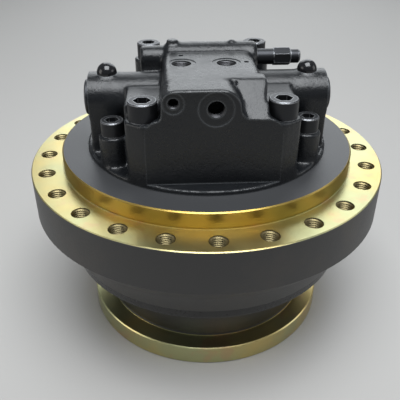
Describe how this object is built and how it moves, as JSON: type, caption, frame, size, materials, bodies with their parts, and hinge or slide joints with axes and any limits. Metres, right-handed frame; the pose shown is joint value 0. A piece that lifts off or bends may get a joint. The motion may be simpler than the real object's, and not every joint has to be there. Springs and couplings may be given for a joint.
{
  "type": "excavator final drive",
  "caption": "Travel drive for a tracked excavator: axial piston motor with valve block, two planetary gear stages, flanged stationary drum and turning sprocket hub.",
  "frame": {"origin": "centre of the sprocket flange's underside, the lowest face, on the drive's axis", "axes": "+Z along the drive's axis from the sprocket side to the hydraulic motor; -Y towards the side of the valve block with the two front ports; +X towards the long hexagon plug"},
  "size_m": [0.5139, 0.514, 0.418],
  "materials": {
    "black_paint": "satin black paint on cast iron",
    "drum_paint": "satin black paint; yellow zinc plating on the machined flange",
    "hub_paint": "satin black paint; yellow zinc plating on the machined flange",
    "black_case": "satin grey paint",
    "carrier_paint": "satin black paint",
    "black_oxide": "black oxide",
    "dome_black": "glossy black",
    "gear_steel": "ground",
    "pin_steel": "polished",
    "washer_steel": "plain",
    "bearing_steel": "ground",
    "cage_steel": "pressed",
    "carrier_iron": "machined",
    "seal_iron": "lapped",
    "friction_lining": "friction lining",
    "seal_rubber": "matt",
    "plate_zinc": "yellow zinc",
    "bronze": "machined bronze"
  },
  "bodies": {
    "frame": {"frame_housing": "drum_paint", "seal_carrier": "carrier_paint", "seal_carrier_screws": "black_oxide", "main_bearing_outer_rings": "bearing_steel", "fixed_seal_ring": "seal_iron", "carrier_2": "carrier_iron", "carrier_2_screws": "black_oxide", "planet_2_pins": "pin_steel", "planet_2_needles": "pin_steel", "planet_2_washers": "washer_steel", "motor_case": "black_case", "shaft_bearing_outer_rings": "bearing_steel", "shaft_seal_ring": "seal_rubber", "brake_plates": "washer_steel", "brake_spring": "washer_steel", "valve_cover": "black_paint", "valve_plate": "bronze", "large_cover_screws": "black_oxide", "small_cover_screws": "black_oxide", "relief_cartridges": "black_oxide", "dome_plugs": "dome_black", "spool_springs": "washer_steel", "spool_plug": "black_oxide"},
    "output": {"output_hub": "hub_paint", "ring_gear": "gear_steel", "bearing_nut": "washer_steel", "main_bearing_inner_rings": "bearing_steel", "turning_seal_ring": "seal_iron", "cover_plate": "plate_zinc", "cover_snap_ring": "washer_steel", "cover_plugs": "plate_zinc", "thrust_button": "pin_steel"},
    "bearing_set": {"main_bearing_rollers": "bearing_steel", "main_bearing_cages": "cage_steel"},
    "first_carrier": {"carrier_1": "carrier_iron", "sun_gear_2": "gear_steel", "planet_1_pins": "pin_steel", "planet_1_needles": "pin_steel", "planet_1_washers": "washer_steel"},
    "first_planet_a": {"planet_1_a": "gear_steel"},
    "first_planet_b": {"planet_1_b": "gear_steel"},
    "first_planet_c": {"planet_1_c": "gear_steel"},
    "second_planet_a": {"planet_2_a": "gear_steel"},
    "second_planet_b": {"planet_2_b": "gear_steel"},
    "second_planet_c": {"planet_2_c": "gear_steel"},
    "second_planet_d": {"planet_2_d": "gear_steel"},
    "rotor": {"motor_shaft": "pin_steel", "sun_gear_1": "gear_steel", "cylinder_block": "carrier_iron", "piston_set": "pin_steel", "piston_shoes": "bronze", "shoe_retainer": "washer_steel", "brake_discs": "friction_lining", "shaft_bearing_inner_rings": "bearing_steel", "shaft_bearing_rollers": "bearing_steel"},
    "swash": {"swash_plate": "carrier_iron"},
    "brake": {"brake_piston": "carrier_iron"},
    "spool": {"counterbalance_spool": "pin_steel"},
    "relief_left": {"relief_poppet_left": "pin_steel"},
    "relief_right": {"relief_poppet_right": "pin_steel"}
  },
  "joints": [
    {"name": "output_spin", "type": "hinge", "parent": "frame", "child": "output", "pos_m": [0, 0, 0], "axis": [0, 0, 1], "continuous": true},
    {"name": "bearing_spin", "type": "hinge", "parent": "frame", "child": "bearing_set", "pos_m": [0, 0, 0], "axis": [0, 0, 1], "continuous": true},
    {"name": "carrier_spin", "type": "hinge", "parent": "frame", "child": "first_carrier", "pos_m": [0, 0, 0], "axis": [0, 0, 1], "continuous": true},
    {"name": "rotor_spin", "type": "hinge", "parent": "frame", "child": "rotor", "pos_m": [0, 0, 0], "axis": [0, 0, 1], "continuous": true},
    {"name": "first_planet_a_spin", "type": "hinge", "parent": "first_carrier", "child": "first_planet_a", "pos_m": [0.07875, 0, 0.033], "axis": [0, 0, 1], "continuous": true},
    {"name": "first_planet_b_spin", "type": "hinge", "parent": "first_carrier", "child": "first_planet_b", "pos_m": [-0.03938, 0.0682, 0.033], "axis": [0, 0, 1], "continuous": true},
    {"name": "first_planet_c_spin", "type": "hinge", "parent": "first_carrier", "child": "first_planet_c", "pos_m": [-0.03938, -0.0682, 0.033], "axis": [0, 0, 1], "continuous": true},
    {"name": "second_planet_a_spin", "type": "hinge", "parent": "frame", "child": "second_planet_a", "pos_m": [0.0825, 0, 0.085], "axis": [0, 0, 1], "continuous": true},
    {"name": "second_planet_b_spin", "type": "hinge", "parent": "frame", "child": "second_planet_b", "pos_m": [0, 0.0825, 0.085], "axis": [0, 0, 1], "continuous": true},
    {"name": "second_planet_c_spin", "type": "hinge", "parent": "frame", "child": "second_planet_c", "pos_m": [-0.0825, 0, 0.085], "axis": [0, 0, 1], "continuous": true},
    {"name": "second_planet_d_spin", "type": "hinge", "parent": "frame", "child": "second_planet_d", "pos_m": [0, -0.0825, 0.085], "axis": [0, 0, 1], "continuous": true},
    {"name": "swash_tilt", "type": "hinge", "parent": "frame", "child": "swash", "pos_m": [0, 0, 0.2], "axis": [1, 0, 0], "range_deg": [-5, 0]},
    {"name": "brake_release", "type": "slide", "parent": "frame", "child": "brake", "axis": [0, 0, 1], "range_m": [0, 0.0015], "stiffness_N_per_m": 120000, "springref_m": -0.002, "deforming": ["brake_spring"]},
    {"name": "spool_shift", "type": "slide", "parent": "frame", "child": "spool", "axis": [1, 0, 0], "range_m": [-0.006, 0.006], "stiffness_N_per_m": 9000, "deforming": ["spool_springs"]},
    {"name": "relief_left_lift", "type": "slide", "parent": "frame", "child": "relief_left", "axis": [-1, 0, 0], "range_m": [0, 0.002], "stiffness_N_per_m": 20000, "springref_m": -0.004},
    {"name": "relief_right_lift", "type": "slide", "parent": "frame", "child": "relief_right", "axis": [1, 0, 0], "range_m": [0, 0.002], "stiffness_N_per_m": 20000, "springref_m": -0.004}
  ],
  "couplings": [
    {"joint": "bearing_spin", "follows": "output_spin", "ratio": 0.4744},
    {"joint": "carrier_spin", "follows": "output_spin", "ratio": -4.5},
    {"joint": "rotor_spin", "follows": "output_spin", "ratio": -37.5},
    {"joint": "first_planet_a_spin", "follows": "output_spin", "ratio": 13.2},
    {"joint": "first_planet_b_spin", "follows": "output_spin", "ratio": 13.2},
    {"joint": "first_planet_c_spin", "follows": "output_spin", "ratio": 13.2},
    {"joint": "second_planet_a_spin", "follows": "output_spin", "ratio": 2.5714},
    {"joint": "second_planet_b_spin", "follows": "output_spin", "ratio": 2.5714},
    {"joint": "second_planet_c_spin", "follows": "output_spin", "ratio": 2.5714},
    {"joint": "second_planet_d_spin", "follows": "output_spin", "ratio": 2.5714}
  ]
}
